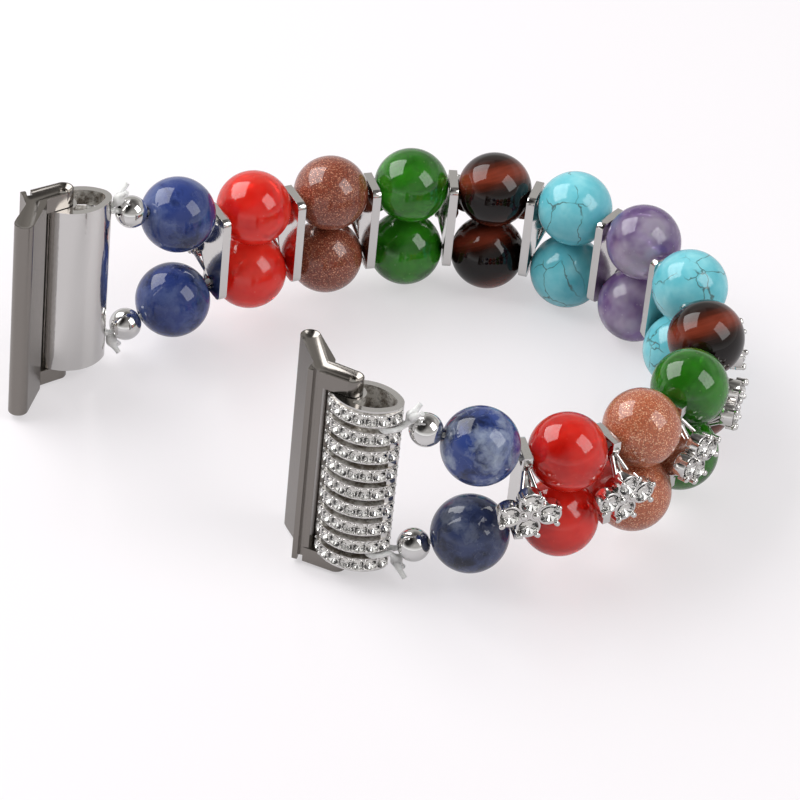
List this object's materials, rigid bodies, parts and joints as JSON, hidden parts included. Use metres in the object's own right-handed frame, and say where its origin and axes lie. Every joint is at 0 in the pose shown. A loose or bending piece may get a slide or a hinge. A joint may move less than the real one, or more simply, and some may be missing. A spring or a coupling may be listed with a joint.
{
  "type": "beaded stretch watch band",
  "caption": "Two-row elastic band of round stone beads with crystal flower spacers, ending in crystal-set ribbed connectors that carry hinged tongue adapters.",
  "frame": {"origin": "centre of the box round the band in plan, on the level of the lower ends of the two adapters, with the band lying on its side", "axes": "+Z across the width of the band, +X towards the closed bend of the loop, +Y towards the half of the loop that ends in the far connector"},
  "size_m": [0.0954, 0.0712, 0.0296],
  "materials": {
    "sodalite": "polished opaque stone with pale veins",
    "red_agate": "polished translucent stone",
    "goldstone": "polished stone with copper sparkles",
    "green_aventurine": "polished translucent stone",
    "red_tiger_eye": "polished banded stone",
    "turquoise": "polished opaque stone with thin dark veins",
    "amethyst": "polished cloudy stone",
    "silver_casting": "bright plated casting",
    "polished_ball": "mirror polish",
    "crystal": "clear cut stones",
    "dark_steel": "dark satin with polished edges",
    "pin_steel": "polished pin",
    "elastic_cord": "clear whitish elastic"
  },
  "bodies": {
    "spacer_1": {"spacer_1": "silver_casting"},
    "spacer_2": {"spacer_2": "silver_casting"},
    "spacer_3": {"spacer_3": "silver_casting"},
    "spacer_4": {"spacer_4": "silver_casting"},
    "spacer_5": {"spacer_5": "silver_casting"},
    "spacer_6": {"spacer_6": "silver_casting", "elastic_upper": "elastic_cord", "elastic_lower": "elastic_cord"},
    "spacer_7": {"spacer_7": "silver_casting"},
    "spacer_8": {"spacer_8": "silver_casting"},
    "spacer_9": {"spacer_9": "silver_casting"},
    "spacer_10": {"spacer_10": "silver_casting"},
    "spacer_11": {"spacer_11": "silver_casting"},
    "spacer_12": {"spacer_12": "silver_casting"},
    "near_connector": {"near_connector": "silver_casting", "near_stones": "crystal"},
    "far_connector": {"far_connector": "silver_casting", "far_stones": "crystal"},
    "near_adapter": {"near_adapter": "dark_steel", "near_pin": "pin_steel"},
    "far_adapter": {"far_adapter": "dark_steel", "far_pin": "pin_steel"},
    "bead_upper_1": {"bead_upper_1": "sodalite"},
    "bead_upper_2": {"bead_upper_2": "red_agate"},
    "bead_upper_3": {"bead_upper_3": "goldstone"},
    "bead_upper_4": {"bead_upper_4": "green_aventurine"},
    "bead_upper_5": {"bead_upper_5": "red_tiger_eye"},
    "bead_upper_6": {"bead_upper_6": "turquoise"},
    "bead_upper_7": {"bead_upper_7": "amethyst"},
    "bead_upper_8": {"bead_upper_8": "turquoise"},
    "bead_upper_9": {"bead_upper_9": "red_tiger_eye"},
    "bead_upper_10": {"bead_upper_10": "green_aventurine"},
    "bead_upper_11": {"bead_upper_11": "goldstone"},
    "bead_upper_12": {"bead_upper_12": "red_agate"},
    "bead_upper_13": {"bead_upper_13": "sodalite"},
    "bead_lower_1": {"bead_lower_1": "sodalite"},
    "bead_lower_2": {"bead_lower_2": "red_agate"},
    "bead_lower_3": {"bead_lower_3": "goldstone"},
    "bead_lower_4": {"bead_lower_4": "green_aventurine"},
    "bead_lower_5": {"bead_lower_5": "red_tiger_eye"},
    "bead_lower_6": {"bead_lower_6": "turquoise"},
    "bead_lower_7": {"bead_lower_7": "amethyst"},
    "bead_lower_8": {"bead_lower_8": "turquoise"},
    "bead_lower_9": {"bead_lower_9": "red_tiger_eye"},
    "bead_lower_10": {"bead_lower_10": "green_aventurine"},
    "bead_lower_11": {"bead_lower_11": "goldstone"},
    "bead_lower_12": {"bead_lower_12": "red_agate"},
    "bead_lower_13": {"bead_lower_13": "sodalite"},
    "near_ball_upper": {"near_ball_upper": "polished_ball"},
    "near_ball_lower": {"near_ball_lower": "polished_ball"},
    "far_ball_upper": {"far_ball_upper": "polished_ball"},
    "far_ball_lower": {"far_ball_lower": "polished_ball"}
  },
  "joints": [
    {"name": "flex_1", "type": "hinge", "parent": "spacer_1", "child": "near_connector", "pos_m": [0.01372, -0.02996, 0.0148], "axis": [0, 0, -1], "range_deg": [-37.5, 3], "deforming": ["elastic_upper", "elastic_lower"]},
    {"name": "flex_2", "type": "hinge", "parent": "spacer_2", "child": "spacer_1", "pos_m": [0.02456, -0.02695, 0.0148], "axis": [0, 0, -1], "range_deg": [-28.5, 3], "deforming": ["elastic_upper", "elastic_lower"]},
    {"name": "flex_3", "type": "hinge", "parent": "spacer_3", "child": "spacer_2", "pos_m": [0.03366, -0.02034, 0.0148], "axis": [0, 0, -1], "range_deg": [-30, 3], "deforming": ["elastic_upper", "elastic_lower"]},
    {"name": "flex_4", "type": "hinge", "parent": "spacer_4", "child": "spacer_3", "pos_m": [0.03962, -0.0108, 0.0148], "axis": [0, 0, -1], "range_deg": [-29.5, 3], "deforming": ["elastic_upper", "elastic_lower"]},
    {"name": "flex_5", "type": "hinge", "parent": "spacer_5", "child": "spacer_4", "pos_m": [0.04167, 0.00026, 0.0148], "axis": [0, 0, -1], "range_deg": [-29.5, 3], "deforming": ["elastic_upper", "elastic_lower"]},
    {"name": "flex_6", "type": "hinge", "parent": "spacer_6", "child": "spacer_5", "pos_m": [0.03952, 0.01131, 0.0148], "axis": [0, 0, -1], "range_deg": [-30.5, 3], "deforming": ["elastic_upper", "elastic_lower"]},
    {"name": "flex_7", "type": "hinge", "parent": "spacer_6", "child": "spacer_7", "pos_m": [0.03331, 0.02069, 0.0148], "axis": [0, 0, 1], "range_deg": [-30.5, 3], "deforming": ["elastic_upper", "elastic_lower"]},
    {"name": "flex_8", "type": "hinge", "parent": "spacer_7", "child": "spacer_8", "pos_m": [0.02399, 0.02698, 0.0148], "axis": [0, 0, 1], "range_deg": [-29, 3], "deforming": ["elastic_upper", "elastic_lower"]},
    {"name": "flex_9", "type": "hinge", "parent": "spacer_8", "child": "spacer_9", "pos_m": [0.01303, 0.02951, 0.0148], "axis": [0, 0, 1], "range_deg": [-26.5, 6], "deforming": ["elastic_upper", "elastic_lower"]},
    {"name": "flex_10", "type": "hinge", "parent": "spacer_9", "child": "spacer_10", "pos_m": [0.00183, 0.02843, 0.0148], "axis": [0, 0, 1], "range_deg": [-22.5, 6], "deforming": ["elastic_upper", "elastic_lower"]},
    {"name": "flex_11", "type": "hinge", "parent": "spacer_10", "child": "spacer_11", "pos_m": [-0.00874, 0.02458, 0.0148], "axis": [0, 0, 1], "range_deg": [-17, 6], "deforming": ["elastic_upper", "elastic_lower"]},
    {"name": "flex_12", "type": "hinge", "parent": "spacer_11", "child": "spacer_12", "pos_m": [-0.01858, 0.01913, 0.0148], "axis": [0, 0, 1], "range_deg": [-11, 6], "deforming": ["elastic_upper", "elastic_lower"]},
    {"name": "flex_13", "type": "hinge", "parent": "spacer_12", "child": "far_connector", "pos_m": [-0.02812, 0.01317, 0.0148], "axis": [0, 0, 1], "range_deg": [-4, 6], "deforming": ["elastic_upper", "elastic_lower"]},
    {"name": "near_adapter_swing", "type": "hinge", "parent": "near_connector", "child": "near_adapter", "pos_m": [-0.00257, -0.02921, 0.0148], "axis": [0, 0, -1], "range_deg": [-25, 25]},
    {"name": "far_adapter_swing", "type": "hinge", "parent": "far_connector", "child": "far_adapter", "pos_m": [-0.04241, 0.00483, 0.0148], "axis": [0, 0, 1], "range_deg": [-25, 25]},
    {"name": "bead_upper_1_spin", "type": "hinge", "parent": "spacer_1", "child": "bead_upper_1", "pos_m": [0.01372, -0.02996, 0.02167], "axis": [0.9496, 0.0998, -0.2971], "continuous": true},
    {"name": "bead_upper_2_spin", "type": "hinge", "parent": "spacer_2", "child": "bead_upper_2", "pos_m": [0.02456, -0.02695, 0.0199], "axis": [0.9063, 0.4226, 0], "continuous": true},
    {"name": "bead_upper_3_spin", "type": "hinge", "parent": "spacer_3", "child": "bead_upper_3", "pos_m": [0.03366, -0.02034, 0.0199], "axis": [0.682, 0.7314, 0], "continuous": true},
    {"name": "bead_upper_4_spin", "type": "hinge", "parent": "spacer_4", "child": "bead_upper_4", "pos_m": [0.03962, -0.0108, 0.0199], "axis": [0.3584, 0.9336, 0], "continuous": true},
    {"name": "bead_upper_5_spin", "type": "hinge", "parent": "spacer_5", "child": "bead_upper_5", "pos_m": [0.04167, 0.00026, 0.0199], "axis": [0, 1, 0], "continuous": true},
    {"name": "bead_upper_6_spin", "type": "hinge", "parent": "spacer_6", "child": "bead_upper_6", "pos_m": [0.03952, 0.01131, 0.0199], "axis": [-0.3746, 0.9272, 0], "continuous": true},
    {"name": "bead_upper_7_spin", "type": "hinge", "parent": "spacer_6", "child": "bead_upper_7", "pos_m": [0.03331, 0.02069, 0.0199], "axis": [-0.7071, 0.7071, 0], "continuous": true},
    {"name": "bead_upper_8_spin", "type": "hinge", "parent": "spacer_7", "child": "bead_upper_8", "pos_m": [0.02399, 0.02698, 0.0199], "axis": [-0.9205, 0.3907, 0], "continuous": true},
    {"name": "bead_upper_9_spin", "type": "hinge", "parent": "spacer_8", "child": "bead_upper_9", "pos_m": [0.01303, 0.02951, 0.0199], "axis": [-0.9986, 0.0523, 0], "continuous": true},
    {"name": "bead_upper_10_spin", "type": "hinge", "parent": "spacer_9", "child": "bead_upper_10", "pos_m": [0.00183, 0.02843, 0.0199], "axis": [-0.9703, -0.2419, 0], "continuous": true},
    {"name": "bead_upper_11_spin", "type": "hinge", "parent": "spacer_10", "child": "bead_upper_11", "pos_m": [-0.00874, 0.02458, 0.0199], "axis": [-0.8988, -0.4384, 0], "continuous": true},
    {"name": "bead_upper_12_spin", "type": "hinge", "parent": "spacer_11", "child": "bead_upper_12", "pos_m": [-0.01858, 0.01913, 0.0199], "axis": [-0.848, -0.5299, 0], "continuous": true},
    {"name": "bead_upper_13_spin", "type": "hinge", "parent": "spacer_12", "child": "bead_upper_13", "pos_m": [-0.02812, 0.01317, 0.02166], "axis": [-0.8094, -0.5058, 0.2986], "continuous": true},
    {"name": "bead_lower_1_spin", "type": "hinge", "parent": "spacer_1", "child": "bead_lower_1", "pos_m": [0.01372, -0.02996, 0.00792], "axis": [0.9496, 0.0998, 0.2971], "continuous": true},
    {"name": "bead_lower_2_spin", "type": "hinge", "parent": "spacer_2", "child": "bead_lower_2", "pos_m": [0.02456, -0.02695, 0.0097], "axis": [0.9063, 0.4226, 0], "continuous": true},
    {"name": "bead_lower_3_spin", "type": "hinge", "parent": "spacer_3", "child": "bead_lower_3", "pos_m": [0.03366, -0.02034, 0.0097], "axis": [0.682, 0.7314, 0], "continuous": true},
    {"name": "bead_lower_4_spin", "type": "hinge", "parent": "spacer_4", "child": "bead_lower_4", "pos_m": [0.03962, -0.0108, 0.0097], "axis": [0.3584, 0.9336, 0], "continuous": true},
    {"name": "bead_lower_5_spin", "type": "hinge", "parent": "spacer_5", "child": "bead_lower_5", "pos_m": [0.04167, 0.00026, 0.0097], "axis": [0, 1, 0], "continuous": true},
    {"name": "bead_lower_6_spin", "type": "hinge", "parent": "spacer_6", "child": "bead_lower_6", "pos_m": [0.03952, 0.01131, 0.0097], "axis": [-0.3746, 0.9272, 0], "continuous": true},
    {"name": "bead_lower_7_spin", "type": "hinge", "parent": "spacer_6", "child": "bead_lower_7", "pos_m": [0.03331, 0.02069, 0.0097], "axis": [-0.7071, 0.7071, 0], "continuous": true},
    {"name": "bead_lower_8_spin", "type": "hinge", "parent": "spacer_7", "child": "bead_lower_8", "pos_m": [0.02399, 0.02698, 0.0097], "axis": [-0.9205, 0.3907, 0], "continuous": true},
    {"name": "bead_lower_9_spin", "type": "hinge", "parent": "spacer_8", "child": "bead_lower_9", "pos_m": [0.01303, 0.02951, 0.0097], "axis": [-0.9986, 0.0523, 0], "continuous": true},
    {"name": "bead_lower_10_spin", "type": "hinge", "parent": "spacer_9", "child": "bead_lower_10", "pos_m": [0.00183, 0.02843, 0.0097], "axis": [-0.9703, -0.2419, 0], "continuous": true},
    {"name": "bead_lower_11_spin", "type": "hinge", "parent": "spacer_10", "child": "bead_lower_11", "pos_m": [-0.00874, 0.02458, 0.0097], "axis": [-0.8988, -0.4384, 0], "continuous": true},
    {"name": "bead_lower_12_spin", "type": "hinge", "parent": "spacer_11", "child": "bead_lower_12", "pos_m": [-0.01858, 0.01913, 0.0097], "axis": [-0.848, -0.5299, 0], "continuous": true},
    {"name": "bead_lower_13_spin", "type": "hinge", "parent": "spacer_12", "child": "bead_lower_13", "pos_m": [-0.02812, 0.01317, 0.00794], "axis": [-0.8094, -0.5058, -0.2986], "continuous": true},
    {"name": "near_ball_upper_spin", "type": "hinge", "parent": "near_connector", "child": "near_ball_upper", "pos_m": [0.00688, -0.03068, 0.02381], "axis": [0.9496, 0.0998, -0.2971], "continuous": true},
    {"name": "near_ball_lower_spin", "type": "hinge", "parent": "near_connector", "child": "near_ball_lower", "pos_m": [0.00688, -0.03068, 0.00579], "axis": [0.9496, 0.0998, 0.2971], "continuous": true},
    {"name": "far_ball_upper_spin", "type": "hinge", "parent": "far_connector", "child": "far_ball_upper", "pos_m": [-0.03395, 0.00953, 0.02381], "axis": [-0.8094, -0.5058, 0.2986], "continuous": true},
    {"name": "far_ball_lower_spin", "type": "hinge", "parent": "far_connector", "child": "far_ball_lower", "pos_m": [-0.03395, 0.00953, 0.00579], "axis": [-0.8094, -0.5058, -0.2986], "continuous": true}
  ]
}
